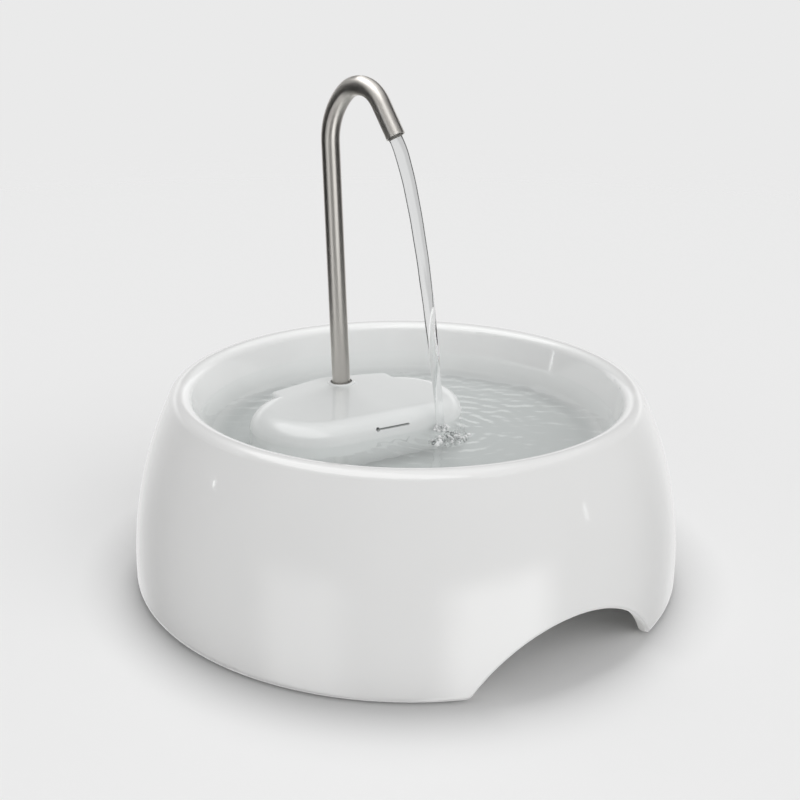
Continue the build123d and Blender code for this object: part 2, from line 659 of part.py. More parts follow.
def flow_dial():
    """Cap on the head's nose. Turning it slides its windows off those of the eye."""
    face_x = EYE_FACE_X + END_PLAY
    outer = NOSE_RADIUS + DIAL_PLAY + DIAL_WALL
    body = pipe(outer, NOSE_RADIUS + DIAL_PLAY, face_x - DIAL_X, DIAL_X)
    body += rod(outer, DIAL_FACE, face_x)
    body -= slab(eye_windows(), DIAL_FACE, face_x)
    inner = NOSE_RADIUS + DIAL_WALL / 2
    lever = Pos((LEVER_REACH + inner) / 2, 0) * Rectangle(LEVER_REACH - inner, LEVER_WIDTH)
    lever = fillet(lever.vertices().group_by(Axis.X)[-1], LEVER_ROUND)
    return ROTOR_FRAME * (body + Rot(0, 0, LEVER_BEARING) * slab(lever, LEVER_THICKNESS, DIAL_X))


def intake_grille():
    """Slotted cup over the dial, with a notch for the lever's travel."""
    body = rod(GRILLE_RADIUS, GRILLE_LENGTH, NOSE_X)
    body -= rod(GRILLE_RADIUS - GRILLE_WALL, GRILLE_LENGTH - GRILLE_WALL, NOSE_X)
    front = NOSE_X + GRILLE_LENGTH
    chord = GRILLE_RADIUS - 2 * GRILLE_WALL
    for i in range(GRILLE_SLOTS):
        y = (i - (GRILLE_SLOTS - 1) / 2) * GRILLE_PITCH
        length = 2 * sqrt(chord**2 - y**2)
        slot = Pos(0, y) * SlotOverall(length, GRILLE_SLOT)
        body -= slab(slot, GRILLE_WALL, front - GRILLE_WALL)
    sweep_angle = DIAL_TURN + degrees(2 * LEVER_WIDTH / GRILLE_RADIUS)
    notch = sector(GRILLE_RADIUS / 2, 2 * GRILLE_RADIUS, sweep_angle)
    notch = Rot(0, 0, LEVER_BEARING + DIAL_TURN / 2) * notch
    depth = DIAL_X + LEVER_THICKNESS + LEVER_GAP - NOSE_X
    return ROTOR_FRAME * (body - slab(notch, depth, NOSE_X))


def prefilter_foam():
    """Foam plug with a pocket that is pushed over the grille."""
    front = NOSE_X + GRILLE_LENGTH
    body = rod(FOAM_RADIUS, FOAM_LENGTH, front - FOAM_OVERLAP)
    body = chamfer(body.edges().filter_by(GeomType.CIRCLE), FOAM_EDGE)
    pocket = rod(GRILLE_RADIUS + FOAM_FIT, FOAM_OVERLAP + FOAM_FIT, front - FOAM_OVERLAP)
    return ROTOR_FRAME * (body - pocket)


def filter_frame():
    """Open-topped cartridge with a lattice on its two broad faces."""
    place = HOOD_FRAME * Pos(CARTRIDGE_X, 0, BASIN_FLOOR_Z)
    outline = RectangleRounded(CARTRIDGE_DEPTH, CARTRIDGE_WIDTH, CARTRIDGE_WALL)
    hollow = Rectangle(CARTRIDGE_DEPTH - 2 * CARTRIDGE_WALL, CARTRIDGE_WIDTH - 2 * CARTRIDGE_WALL)
    body = extrude(outline, CARTRIDGE_HEIGHT)
    body -= Pos(0, 0, CARTRIDGE_WALL) * extrude(hollow, CARTRIDGE_HEIGHT)
    cell_w = (CARTRIDGE_WIDTH - 2 * CARTRIDGE_WALL - (LATTICE_COLUMNS + 1) * LATTICE_BAR) / LATTICE_COLUMNS
    cell_h = (CARTRIDGE_HEIGHT - 2 * CARTRIDGE_WALL - (LATTICE_ROWS + 1) * LATTICE_BAR) / LATTICE_ROWS
    for column in range(LATTICE_COLUMNS):
        for row in range(LATTICE_ROWS):
            y = (column - (LATTICE_COLUMNS - 1) / 2) * (cell_w + LATTICE_BAR)
            z = CARTRIDGE_HEIGHT / 2 + (row - (LATTICE_ROWS - 1) / 2) * (cell_h + LATTICE_BAR)
            body -= Pos(0, y, z) * Box(2 * CARTRIDGE_DEPTH, cell_w, cell_h)
    return place * body


def carbon_pad():
    inset = 2 * (CARTRIDGE_WALL + PAD_FIT)
    height = CARTRIDGE_HEIGHT - CARTRIDGE_WALL - 2 * PAD_FIT
    outline = RectangleRounded(CARTRIDGE_DEPTH - inset, CARTRIDGE_WIDTH - inset, PAD_ROUND)
    low = BASIN_FLOOR_Z + CARTRIDGE_WALL + PAD_FIT
    return HOOD_FRAME * Pos(CARTRIDGE_X, 0, low) * extrude(outline, height)


def filter_lid():
    """Lid that rests on the cartridge, with a finger tab."""
    top = BASIN_FLOOR_Z + CARTRIDGE_HEIGHT
    plate = extrude(RectangleRounded(CARTRIDGE_DEPTH, CARTRIDGE_WIDTH, CARTRIDGE_WALL), LID_THICKNESS)
    tab = Pos(0, 0, LID_THICKNESS + LID_TAB_HEIGHT / 2) * Box(CARTRIDGE_WALL, LID_TAB, LID_TAB_HEIGHT)
    tab = fillet(tab.edges().filter_by(Axis.X).group_by(Axis.Z)[-1], LID_TAB_ROUND)
    return HOOD_FRAME * Pos(CARTRIDGE_X, 0, top) * (plate + tab)


NODES = (
    bowl,
    pump_cover,
    spout_tube,
    tube_connector,
    pump_head,
    head_seal,
    impeller,
    rotor_magnet,
    rotor_shaft,
    shaft_bushes,
    pump_housing,
    stator_core,
    stator_coils,
    control_board,
    potting_cap,
    cable_gland,
    suction_cups,
    flow_dial,
    intake_grille,
    prefilter_foam,
    filter_frame,
    carbon_pad,
    filter_lid,
)

os.makedirs("parts", exist_ok=True)
for make in NODES:
    export_step(make(), f"parts/{make.__name__}.step")
    print(make.__name__)
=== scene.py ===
# %% [markdown]
# # A pet water fountain in Blender
#
# The object is a glazed ceramic bowl with a plastic hood in it, a bent steel spout and running
# water. Its rigid pieces were drawn as solids in a CAD program, at their real size, and they come
# in as one fixed frame. This notebook keeps them where they are, gives each of them a finish, and
# models what a solid can't show: the water, its jet and its splash.

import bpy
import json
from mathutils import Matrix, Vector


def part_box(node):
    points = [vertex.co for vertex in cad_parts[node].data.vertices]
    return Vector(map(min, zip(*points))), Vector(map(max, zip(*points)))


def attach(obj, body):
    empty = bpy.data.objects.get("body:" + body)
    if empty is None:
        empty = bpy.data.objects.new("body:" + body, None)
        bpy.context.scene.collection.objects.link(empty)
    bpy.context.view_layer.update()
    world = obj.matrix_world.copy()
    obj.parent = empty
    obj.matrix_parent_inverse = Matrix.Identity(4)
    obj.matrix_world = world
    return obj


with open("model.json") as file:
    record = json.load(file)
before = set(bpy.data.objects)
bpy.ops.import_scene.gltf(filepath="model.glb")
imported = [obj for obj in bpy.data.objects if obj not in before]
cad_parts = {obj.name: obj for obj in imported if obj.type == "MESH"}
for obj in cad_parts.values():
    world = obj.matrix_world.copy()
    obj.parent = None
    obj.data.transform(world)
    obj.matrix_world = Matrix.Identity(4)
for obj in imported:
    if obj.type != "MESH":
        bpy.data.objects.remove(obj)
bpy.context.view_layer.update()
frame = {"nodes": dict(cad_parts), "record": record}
print("nodes:", len(frame["nodes"]))

# %% [markdown]
# ## Units and places
#
# Blender works in metres here, and the pieces are small, so one named factor turns millimetres
# into metres. Places come from the frame wherever it holds them. Everything points one way: the
# pet drinks from the front, which is -Y, and +Z is up.

# %% Units and places
import json
import random
from math import cos, exp, hypot, pi, radians, sin, sqrt, tan

import bmesh
import bpy
from mathutils import Matrix, Vector, noise

MM = 0.001
FREEBOARD = 16 * MM  # from the water up to the rim

bowl_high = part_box("bowl")[1]
BOWL_RADIUS = bowl_high.x
RIM_Z = bowl_high.z
WATER_Z = RIM_Z - FREEBOARD
FLOOR_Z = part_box("filter_frame")[0].z  # top of the basin's floor, where the cartridge stands


def add_object(name, data):
    """Makes an object of a mesh, a lens or a lamp, and puts it in the scene."""
    made = bpy.data.objects.new(name, data)
    bpy.context.scene.collection.objects.link(made)
    return made


print("rim", round(RIM_Z, 4), "water", round(WATER_Z, 4), "basin floor", round(FLOOR_Z, 4))

# %% [markdown]
# ## The camera
#
# Small goods are usually shown through a short telephoto lens, which keeps a round bowl from
# bulging. The camera stands on the Y axis, a little above the spout, and looks along +Y. Three
# turns about its own axes give the view: first the aim to the left or right, then the look down,
# and then the small roll of a camera that isn't quite level. A matrix for each turn, multiplied in
# that order, says this more plainly than three Euler angles.

# %% Camera
CAMERA_PLACE = Vector((0, -556.5, 282.3)) * MM
LENS_LENGTH = 54  # in mm, on the 36 mm of a small-format sensor
SENSOR_WIDTH = 36
LOOK_DOWN = radians(19.47)
AIM_LEFT = radians(0.372)
ROLL = radians(0.59)

lens = bpy.data.cameras.new("lens")
lens.sensor_fit = "HORIZONTAL"
lens.sensor_width = SENSOR_WIDTH
lens.lens = LENS_LENGTH
lens.clip_start = 10 * MM
camera = add_object("camera", lens)
aim = Matrix.Rotation(AIM_LEFT, 4, "Z")
tilt = Matrix.Rotation(pi / 2 - LOOK_DOWN, 4, "X")  # a camera without turns looks straight down
roll = Matrix.Rotation(ROLL, 4, "Z")
camera.matrix_world = Matrix.Translation(CAMERA_PLACE) @ aim @ tilt @ roll
bpy.context.scene.camera = camera
bpy.context.scene.view_settings.view_transform = "Standard"
print("lens", lens.lens, "mm at", [round(v, 3) for v in CAMERA_PLACE])

# %% [markdown]
# ## Shader maths as Python
#
# A finish is a small network of nodes. Wiring them by hand takes many lines, so one class wraps a
# socket and lets Python's operators add the Math nodes, and a second class holds a material and
# adds any other node with one method. A formula such as `1 - mask * 0.3` then reads as it looks.

# %% A socket that can be used in arithmetic
class Wire:
    """An output socket. Each operator on it adds one Math node to its tree."""

    def __init__(self, finish, socket):
        self.finish = finish
        self.socket = socket

    def maths(self, operation, *values):
        """A Math node with these values or wires, in the node's own order."""
        return self.finish.node("ShaderNodeMath", {"operation": operation}, dict(enumerate(values)))

    def __add__(self, other):
        return self.maths("ADD", self, other)

    def __sub__(self, other):
        return self.maths("SUBTRACT", self, other)

    def __rsub__(self, other):
        return self.maths("SUBTRACT", other, self)

    def __mul__(self, other):
        return self.maths("MULTIPLY", self, other)

    __radd__ = __add__
    __rmul__ = __mul__

    def absolute(self):
        return self.maths("ABSOLUTE", self)

    def above(self, edge):
        """1 where the value is above an edge, 0 elsewhere."""
        return self.maths("GREATER_THAN", self, edge)

    def ease(self, low, high):
        """0 below low, 1 above high and a smooth rise between."""
        settings = {"interpolation_type": "SMOOTHSTEP"}
        inputs = {"Value": self, "From Min": low, "From Max": high}
        return self.finish.node("ShaderNodeMapRange", settings, inputs)

    def sibling(self, output):
        """Another output of the same node."""
        return Wire(self.finish, self.socket.node.outputs[output])


# %% A material that nodes are added to
def opaque(colour):
    """A colour with its alpha, or the wire that it already is."""
    return colour if isinstance(colour, Wire) else (*colour, 1)


class Finish:
    """The node tree of a material or a world, emptied, with one method that adds any node."""

    def __init__(self, owner):
        owner.use_nodes = True
        self.owner = owner
        self.tree = owner.node_tree
        self.tree.nodes.clear()

    def node(self, kind, settings=None, inputs=None, output=0):
        """Adds a node: its settings first, then the values or wires of its inputs."""
        made = self.tree.nodes.new(kind)
        for name, value in (settings or {}).items():
            setattr(made, name, value)
        for name, value in (inputs or {}).items():
            if isinstance(value, Wire):
                self.tree.links.new(value.socket, made.inputs[name])
            else:
                made.inputs[name].default_value = value
        return Wire(self, made.outputs[output])

    def vector(self, operation, *values, output="Vector"):
        """A Vector Math node. Where the result is one number, its output is "Value"."""
        inputs = dict(enumerate(values))
        return self.node("ShaderNodeVectorMath", {"operation": operation}, inputs, output)

    def blend(self, factor, low, high):
        """A colour between low and high."""
        inputs = {"Factor": factor, 6: opaque(low), 7: opaque(high)}  # 6 and 7 are the colours A and B
        return self.node("ShaderNodeMix", {"data_type": "RGBA"}, inputs, output=2)

    def place(self, stretch=None):
        """The surface's own place in metres. A stretch below 1 makes a pattern longer that way."""
        where = self.node("ShaderNodeTexCoord", output="Object")
        return self.vector("MULTIPLY", where, stretch) if stretch else where

    def grain(self, size, detail=3, place=None):
        """Noise with bumps about size metres wide, from 0 to 1."""
        inputs = {"Vector": place or self.place(), "Scale": 1 / size, "Detail": detail}
        return self.node("ShaderNodeTexNoise", {"normalize": True}, inputs)

    def bump(self, height, depth):
        """A normal from a height of 0 to 1, which stands for depth metres."""
        return self.node("ShaderNodeBump", {}, {"Height": height, "Distance": depth, "Strength": 1})

    def principled(self, **inputs):
        """A Principled shader. Its sockets are named with underscores, as in Base_Color."""
        named = {name.replace("_", " "): value for name, value in inputs.items()}
        named["Base Color"] = opaque(named["Base Color"])
        return self.node("ShaderNodeBsdfPrincipled", {}, named)

    def show(self, shader, kind="ShaderNodeOutputMaterial"):
        """Ends the tree in a shader, and returns the material or world that it belongs to."""
        ending = self.tree.nodes.new(kind)
        self.tree.links.new(shader.socket, ending.inputs["Surface"])
        return self.owner


def new_finish(name):
    """An empty material of that name, ready for nodes."""
    return Finish(bpy.data.materials.new(name))


# %% [markdown]
# ## The floor
#
# Pale goods are shown on a pale sheet that runs out into a background of the same tone, so that
# no horizon shows. A curved backdrop of mesh would do that for one view only. Here the sheet is
# flat, and further out it turns see-through, so the world's own pale tone takes over on all sides.
#
# The lamps draw the wide soft shadow by themselves. The narrow dark line where a wall stands on
# the sheet is too faint in such even light, so it is helped along: an Ambient Occlusion node
# measures how closed in each place is, and the paper darkens with it. Light falls through the two
# grip arches, so between them the line is nearly left out.

# %% Floor and background
BACKGROUND = 0.823  # linear value of the pale grey
PAPER = 0.88  # colour of the sheet, which gets a little less than full light
SHEET_SIZE = 6.0
FADE_FROM = 0.5  # distance from the middle at which the sheet starts to turn see-through
FADE_TO = 1.6
CONTACT_REACH = 30 * MM
CONTACT_DEPTH = 0.52  # share of the paper's tone that a closed corner loses
FOOT_EDGE = 8 * MM  # the dark line starts this far inside the bowl's outline
BESIDE_ARCHES = radians(33.7)  # bearing from +X, square to the line through both grip arches
LANE_HALF_WIDTH = 36 * MM  # of the lane between the arches
WALL_FROM = 52 * MM  # beyond this the bowl's wall is whole
LANE_CONTACT = 0.15  # share of the dark line that is left in the lane

half = SHEET_SIZE / 2
corners = [(-half, -half, 0), (half, -half, 0), (half, half, 0), (-half, half, 0)]
floor_mesh = bpy.data.meshes.new("floor")
floor_mesh.from_pydata(corners, [], [(0, 1, 2, 3)])
floor = add_object("floor", floor_mesh)
floor.visible_glossy = False  # mirrors and water see the cards of the world instead
floor.visible_transmission = False

paper = new_finish("floor_paper")
apart = paper.vector("LENGTH", paper.place(), output="Value")
open_share = paper.node("ShaderNodeAmbientOcclusion", {"samples": 16}, {"Distance": CONTACT_REACH}, "AO")
outside = apart.ease(BOWL_RADIUS - FOOT_EDGE, BOWL_RADIUS)
square_to_lane = (cos(BESIDE_ARCHES), sin(BESIDE_ARCHES), 0)
off_lane = paper.vector("DOT_PRODUCT", paper.place(), square_to_lane, output="Value").absolute()
walled = LANE_CONTACT + off_lane.ease(LANE_HALF_WIDTH, WALL_FROM) * (1 - LANE_CONTACT)
contact = (1 - open_share) * outside * walled * CONTACT_DEPTH
tone = paper.blend(contact, (PAPER, PAPER, PAPER), (0, 0, 0))
sheet = paper.node("ShaderNodeBsdfDiffuse", {}, {"Color": tone})
nothing = paper.node("ShaderNodeBsdfTransparent")
faded = apart.ease(FADE_FROM, FADE_TO)
fading = paper.node("ShaderNodeMixShader", {}, {0: faded, 1: sheet, 2: nothing})
floor_mesh.materials.append(paper.show(fading))
print("sheet", SHEET_SIZE, "m wide, gone at", FADE_TO, "m from the middle")

# %% [markdown]
# ## Surroundings for glaze, steel and water
#
# Polished things have no tone of their own and show what stands around them, so studios put dark
# and bright cards there. Water is the same: a clear jet in front of a pale wall shows only by the
# dark card beside it, which its edges bend into view. Cards made of mesh would get in the way
# of the camera and of each other. So the world holds them, as patches with soft edges at chosen
# bearings, and looks at the kind of ray that comes in. The camera sees the plain background, matt
# surfaces get an even soft light, and only mirror-like and bent rays meet the cards.
#
# Cycles would also treat such a world as one more lamp and send rays to it that have no kind.
# Its sampling is switched off for that reason.

# %% Bearings of a ray that leaves the scene
world = bpy.data.worlds.new("studio")
bpy.context.scene.world = world
world.cycles.sampling_method = "NONE"
sky = Finish(world)
ray = sky.node("ShaderNodeSeparateXYZ", {}, {0: sky.node("ShaderNodeTexCoord")})
along_x, along_y, along_z = (ray.sibling(axis) for axis in "XYZ")
bearing = along_x.maths("ARCTAN2", along_x, along_y * -1)


def card(middle, half_width, soft_edge):
    """1 within half_width of a bearing, in degrees from -Y towards +X, 0 beyond soft_edge."""
    off = (bearing - radians(middle)).absolute()
    return 1 - off.ease(radians(half_width), radians(half_width + soft_edge))


def rise(low, high):
    """0 below a height of view and 1 above another, in degrees above the horizon."""
    return along_z.ease(sin(radians(low)), sin(radians(high)))


def band(low, high, soft_edge):
    """1 between two heights of view."""
    return rise(low - soft_edge, low) * (1 - rise(high, high + soft_edge))


print("world nodes for the bearings:", len(world.node_tree.nodes))

# %% [markdown]
# Mirrors see this room. In front it is dark, with a faint wide glow and two bright strips that
# stand in the steel and in the bowl's wall. The strips end at eye level, so the lip, which looks up,
# doesn't show them. Behind, the room is pale, a little brighter at the height that the lip shows and
# darker above that, where the water's surface looks. Over it hangs a soft box that comes down
# further at the left front, which puts the highlights on the lip and on the hood. Two small lamps
# far out at the sides give the sharp glints on the glaze.

# %% Places of the cards that mirrors see
# A card has a bearing, half a width and a soft edge, and a band its lowest and highest view and a
# soft edge, all in degrees.
dark_front = card(0, 112, 40)
right_strip = card(37, 11, 18)
left_strip = card(-40, 7, 17)
front_glow = card(0, 56, 14)
box_front = card(-55, 82, 24)  # where the soft box comes down further
right_lamp = card(79.5, 0.5, 0.5) * band(2.8, 6.4, 0.8)
left_lamp = card(-89.4, 0.4, 0.4) * band(5.9, 6.8, 0.5)
lip_view = band(11, 17, 2)
water_view = band(22, 38, 8)
under_eye = 1 - rise(-7, 3)
under_box = 1 - rise(34, 46)
in_low_box = rise(44, 52)
in_high_box = rise(58, 66)
print("world nodes with the cards for mirrors:", len(world.node_tree.nodes))

# %% Brightness of the cards that mirrors see
BLACK_CARD = 0.04
RIGHT_STRIP_LIGHT = 2.1  # the left one has 1
GLOW_LIGHT = 0.17
ROOM = 0.85
ROOM_GLOW = 0.32
ROOM_ABOVE = 0.30
SOFT_BOX = 3.2
HIGH_BOX_SHARE = 0.3  # of the soft box's brightness, where it only hangs high
SMALL_LAMP = 7
RIGHT_LAMP_SHARE = 0.35  # of a small lamp's, as the right one is larger

strips = (right_strip * RIGHT_STRIP_LIGHT + left_strip) * under_eye + front_glow * GLOW_LIGHT
behind = ROOM + lip_view * ROOM_GLOW - water_view * (ROOM - ROOM_ABOVE)
room = dark_front * (BLACK_CARD + strips) + (1 - dark_front) * behind
box_shape = in_low_box * box_front + in_high_box * (1 - box_front) * HIGH_BOX_SHARE
soft_box = box_shape * (SOFT_BOX - BACKGROUND)
small_lamps = (right_lamp * RIGHT_LAMP_SHARE + left_lamp) * SMALL_LAMP
mirrored = room * under_box + (1 - under_box) * BACKGROUND + soft_box + small_lamps
print("soft box", SOFT_BOX, "small lamps", SMALL_LAMP, "black card", BLACK_CARD)

# %% [markdown]
# Water sees a simpler room, because it bends rays by a little only. The pale wall behind it is
# what shows through, a bit darker at the left. One black card stands at each side, and the jet's
# edges bend it into view as the dark lines that give clear water its shape.

# %% Cards that water bends into view
PALE_WALL = 0.73
LEFT_SHADE = 0.14  # what the wall's left part lacks

side_cards = card(123, 23, 8) + card(-123, 23, 8)
left_part = card(-163, 9, 6)
wall_view = band(-45, 40, 10)
wall = PALE_WALL - side_cards * (PALE_WALL - BLACK_CARD) - left_part * LEFT_SHADE
refracted = wall * wall_view + (1 - wall_view) * BACKGROUND
print("wall behind the water", PALE_WALL)

# %% [markdown]
# Light Path tells the rays apart. A ray that has left a matt surface has a Diffuse Depth of at
# least 1, whatever it meets later. It gets the even light and never a card, because small bright
# patches in soft light make noise. The even light is stronger low in the front, which lifts the
# bowl's wall without a second shadow.

# %% World
AMBIENT = 0.45  # soft light from all sides
FRONT_FILL = 0.62  # more of it, low from the front

fill_place = card(0, 110, 30) * band(-5, 22, 8)
even_light = AMBIENT + fill_place * FRONT_FILL
from_camera = sky.node("ShaderNodeLightPath", output="Is Camera Ray")
from_matt = from_camera.sibling("Diffuse Depth").above(0.5)
is_bent = from_camera.sibling("Is Transmission Ray")
is_mirrored = from_camera.sibling("Is Glossy Ray") * (1 - is_bent)
from_polished = is_mirrored * mirrored + is_bent * refracted
level = from_camera * BACKGROUND + from_matt * even_light + (1 - from_matt) * from_polished
backdrop = sky.node("ShaderNodeBackground", {}, {"Color": (1, 1, 1, 1), "Strength": level})
sky.show(backdrop, "ShaderNodeOutputWorld")
print("world nodes:", len(world.node_tree.nodes))

# %% [markdown]
# ## Two soft lamps
#
# The even light alone would leave no shadow, so two suns add a direction to it. A sun's angle is
# its width in the sky, and a wide one blurs a shadow as a large lamp close by does. The first
# stands over the object and a little behind it, so the bowl's shadow falls to the front. The
# second comes from the front right and models the round of the wall. Each one's strength is worked
# out from the share of light that it gives the floor, which keeps the white of the sheet in hand.

# %% Two soft lamps
TOP_SHARE = 0.29
TOP_SPREAD = 26
TOP_TOWARD = Vector((0.02, 0.40, 1.0))
KEY_SHARE = 0.12
KEY_SPREAD = 45
KEY_TOWARD = Vector((0.75, -0.62, 0.75))


def soft_sun(name, share, spread, toward):
    """A sun that gives share of the floor's light and blurs its shadow by its spread."""
    sun = bpy.data.lights.new(name, "SUN")
    sun.angle = radians(spread)
    sun.energy = share * pi * toward.length / toward.z
    holder = add_object(name, sun)
    holder.rotation_euler = toward.to_track_quat("Z", "Y").to_euler()
    holder.visible_glossy = False
    holder.visible_transmission = False


soft_sun("top_light", TOP_SHARE, TOP_SPREAD, TOP_TOWARD)
soft_sun("key_light", KEY_SHARE, KEY_SPREAD, KEY_TOWARD)
print("light on the floor", round(AMBIENT + TOP_SHARE + KEY_SHARE, 2))

# %% [markdown]
# ## Glazed ceramic
#
# The bowl is stoneware under a thick white glaze. The clay is faintly uneven in tone, and the
# glaze sets in long shallow waves. So the finish is a pale base with a very slow change of tone, a
# low roughness, a thin clear coat, and a bump of long wavelength that makes reflections swim a
# little instead of standing ruler-straight.
#
# One material covers the bowl, and three masks tell its places apart. The inner wall is painted
# whiter than the outside, as painted light for a basin that the lamps light too little. It is found
# by its normal, which points at the bowl's axis: the dot product of the normal with the way out
# from the axis is negative there.
# The basin's floor is painted greyer, as painted shade for the light that real water takes on its
# way down and the clear water of this scene doesn't. The hollow underneath is bare clay, rough and
# warm, and its tone is set lighter as painted light, because little light gets in there.

# %% Glaze
OUTER_GLAZE = ((0.78, 0.78, 0.775), (0.815, 0.815, 0.81))  # darkest and lightest tone
# painted light: the inner wall's glaze is set lighter than the outside's
INNER_PAINTED_LIGHT = (0.92, 0.925, 0.92)
# painted shade: the basin's floor is set greyer, fading up the wall
PAINTED_FLOOR_SHADE = (0.64, 0.66, 0.655)
# bare clay, its tone set light as painted light for the shaded hollow
BARE_CLAY_AND_LIGHT = (0.93, 0.925, 0.90)
CLOUD = 60 * MM  # size of the patches of tone
GLAZE_WAVE = 28 * MM
GLAZE_WAVE_DEPTH = 0.25 * MM
GLAZE_GLOSS = 0.09  # roughness of the glaze
CLAY_EXTRA = 0.4  # roughness that bare clay has on top of that
WALL_FULL = -60 * MM  # values of the dot product between which the wall turns from out to in
WALL_START = -10 * MM
PAINTED_SHADE_RADIUS = 105 * MM  # holds the basin's floor, but not the wall's outside
PAINTED_SHADE_HEIGHT = 9 * MM  # over which the grey of the floor fades up the wall
UNDER_SLACK = 2 * MM  # the hollow's mask starts this far under the basin's floor


def glaze():
    f = new_finish("glazed_ceramic")
    place = f.vector("MULTIPLY", f.place(), (1, 1, 0))
    normal = f.node("ShaderNodeNewGeometry", output="Normal")
    outward = f.vector("DOT_PRODUCT", normal, place, output="Value")
    height = f.node("ShaderNodeSeparateXYZ", {}, {0: f.place()}, "Z")
    across = f.vector("LENGTH", place, output="Value")
    # mask of the inner wall, which gets the painted light
    inside = 1 - outward.ease(WALL_FULL, WALL_START)
    # mask of the basin's floor, which gets the painted shade
    painted_floor_shade = (1 - height.ease(FLOOR_Z, FLOOR_Z + PAINTED_SHADE_HEIGHT)) * (1 - across.above(PAINTED_SHADE_RADIUS))
    under = (1 - height.above(FLOOR_Z - UNDER_SLACK)) * (1 - outward.above(UNDER_SLACK))
    tone = f.blend(f.grain(CLOUD, 2), *OUTER_GLAZE)
    # painted light: the inner wall turns lighter
    tone = f.blend(inside, tone, INNER_PAINTED_LIGHT)
    # painted shade: the basin's floor turns greyer
    tone = f.blend(painted_floor_shade, tone, PAINTED_FLOOR_SHADE)
    # the hollow's clay, lightened as painted light
    tone = f.blend(under, tone, BARE_CLAY_AND_LIGHT)
    shader = f.principled(
        Base_Color=tone,
        Roughness=GLAZE_GLOSS + under * CLAY_EXTRA,
        Normal=f.bump(f.grain(GLAZE_WAVE, 1), GLAZE_WAVE_DEPTH),
        IOR=1.5,
        Coat_Weight=0.25,
        Coat_Roughness=0.03,
    )
    return f.show(shader)


finishes = {"glazed_ceramic": glaze()}
print("glaze nodes:", len(finishes["glazed_ceramic"].node_tree.nodes))

# %% [markdown]
# ## Moulded plastic
#
# Moulded plastic and rubber take on the faint orange peel of their mould. Gloss ABS, as on the
# hood, has a long shallow one, and a textured pump body or a rubber gasket a short deep one. A
# material for each by hand would repeat the same four nodes eight times. So one function makes them
# all, and the ground ceramic shaft and the resin too, from a row of values. The pump is near black,
# but never quite: a value of 0 would swallow its shape.

# %% Plastics and rubbers
TONE_PATCH = 9 * MM
GLOSS_PATCH = 4 * MM
MOULDED = {  # colour, roughness, depth and size of the peel, and how much darker it gets in places
    "hood_plastic": ((0.795, 0.81, 0.805), 0.07, 0.012 * MM, 3 * MM, 0.02),
    "silicone": ((0.72, 0.74, 0.74), 0.45, 0.03 * MM, 1.6 * MM, 0.05),
    "black_rubber": ((0.02, 0.02, 0.02), 0.6, 0.05 * MM, 0.7 * MM, 0.3),
    "pump_plastic": ((0.028, 0.029, 0.031), 0.38, 0.03 * MM, 0.9 * MM, 0.2),
    "filter_plastic": ((0.78, 0.78, 0.77), 0.34, 0.02 * MM, 1.6 * MM, 0.05),
    "dial_plastic": ((0.10, 0.115, 0.13), 0.3, 0.02 * MM, 1.6 * MM, 0.05),
    "potting_resin": ((0.015, 0.015, 0.017), 0.12, 0.15 * MM, 6 * MM, 0.3),
    "shaft_ceramic": ((0.74, 0.72, 0.66), 0.18, 0.005 * MM, 1.6 * MM, 0.05),
}


def moulded(name, colour, roughness, peel, size, darker):
    f = new_finish(name)
    dark = [c * (1 - darker) for c in colour]
    shader = f.principled(
        Base_Color=f.blend(f.grain(TONE_PATCH), dark, colour),
        Roughness=roughness * (0.85 + f.grain(GLOSS_PATCH) * 0.3),
        Normal=f.bump(f.grain(size, 2), peel),
        IOR=1.5,
    )
    return f.show(shader)


for name, values in MOULDED.items():
    finishes[name] = moulded(name, *values)
print("moulded finishes:", len(MOULDED))

# %% [markdown]
# ## Satin steel
#
# Stainless tube is drawn through a die, which leaves faint lines along it, and then polished on a
# belt, which leaves fine scratches around it. The lines are a noise that is stretched along the
# tube and varies the roughness and the bump. The scratches are too fine to see one by one. They
# only smear each reflection along the tube and keep it sharp across, so that the dark and bright
# cards stand in it as long streaks. That is the shader's Anisotropic, turned by a quarter. The
# magnet is ground ferrite, without any such direction.

# %% Metals
ALONG_TUBE = (1, 1, 0.03)
METAL_PATCH = 12 * MM
QUARTER_TURN = 0.25


def brushed(name, colour, roughness, stretch=None, depth=0.004 * MM, line=0.25 * MM, streak=0.0):
    """A metal with lines of a width and depth, and a streak of 0 to 1 in its reflections."""
    f = new_finish(name)
    lines = f.grain(line, 4, f.place(stretch))
    shader = f.principled(
        Base_Color=f.blend(f.grain(METAL_PATCH, 2), [c * 0.93 for c in colour], colour),
        Metallic=1.0,
        Roughness=roughness * (0.8 + lines * 0.4),
        Normal=f.bump(lines, depth),
        Anisotropic=streak,
        Anisotropic_Rotation=QUARTER_TURN,
    )
    return f.show(shader)


finishes["spout_steel"] = brushed("spout_steel", (0.66, 0.635, 0.60), 0.36, ALONG_TUBE, streak=0.9)
finishes["ferrite"] = brushed("ferrite", (0.09, 0.09, 0.10), 0.42, depth=0.02 * MM, line=0.4 * MM)
print("steel nodes:", len(finishes["spout_steel"].node_tree.nodes))

# %% [markdown]
# ## Foam and felt
#
# Open-cell foam is a froth with the bubbles' walls gone, so it looks like a field of small dark
# pores. Cut into the mesh they would take millions of faces, for a sleeve that sits under the
# hood. Voronoi cells in the colour and the bump are the usual stand-in, and the colour paints the
# pores darker than their walls, as painted shade in the holes. Carbon felt is a mat of short
# fibres, for which a stretched noise laid two ways is enough at this size. Its low places are
# painted darker too, as painted shade between the fibres.

# %% Soft filter materials
PORE = 1.1 * MM
PORE_DEPTH = 0.5 * MM
FIBRE = 0.5 * MM
FIBRE_DEPTH = 0.3 * MM


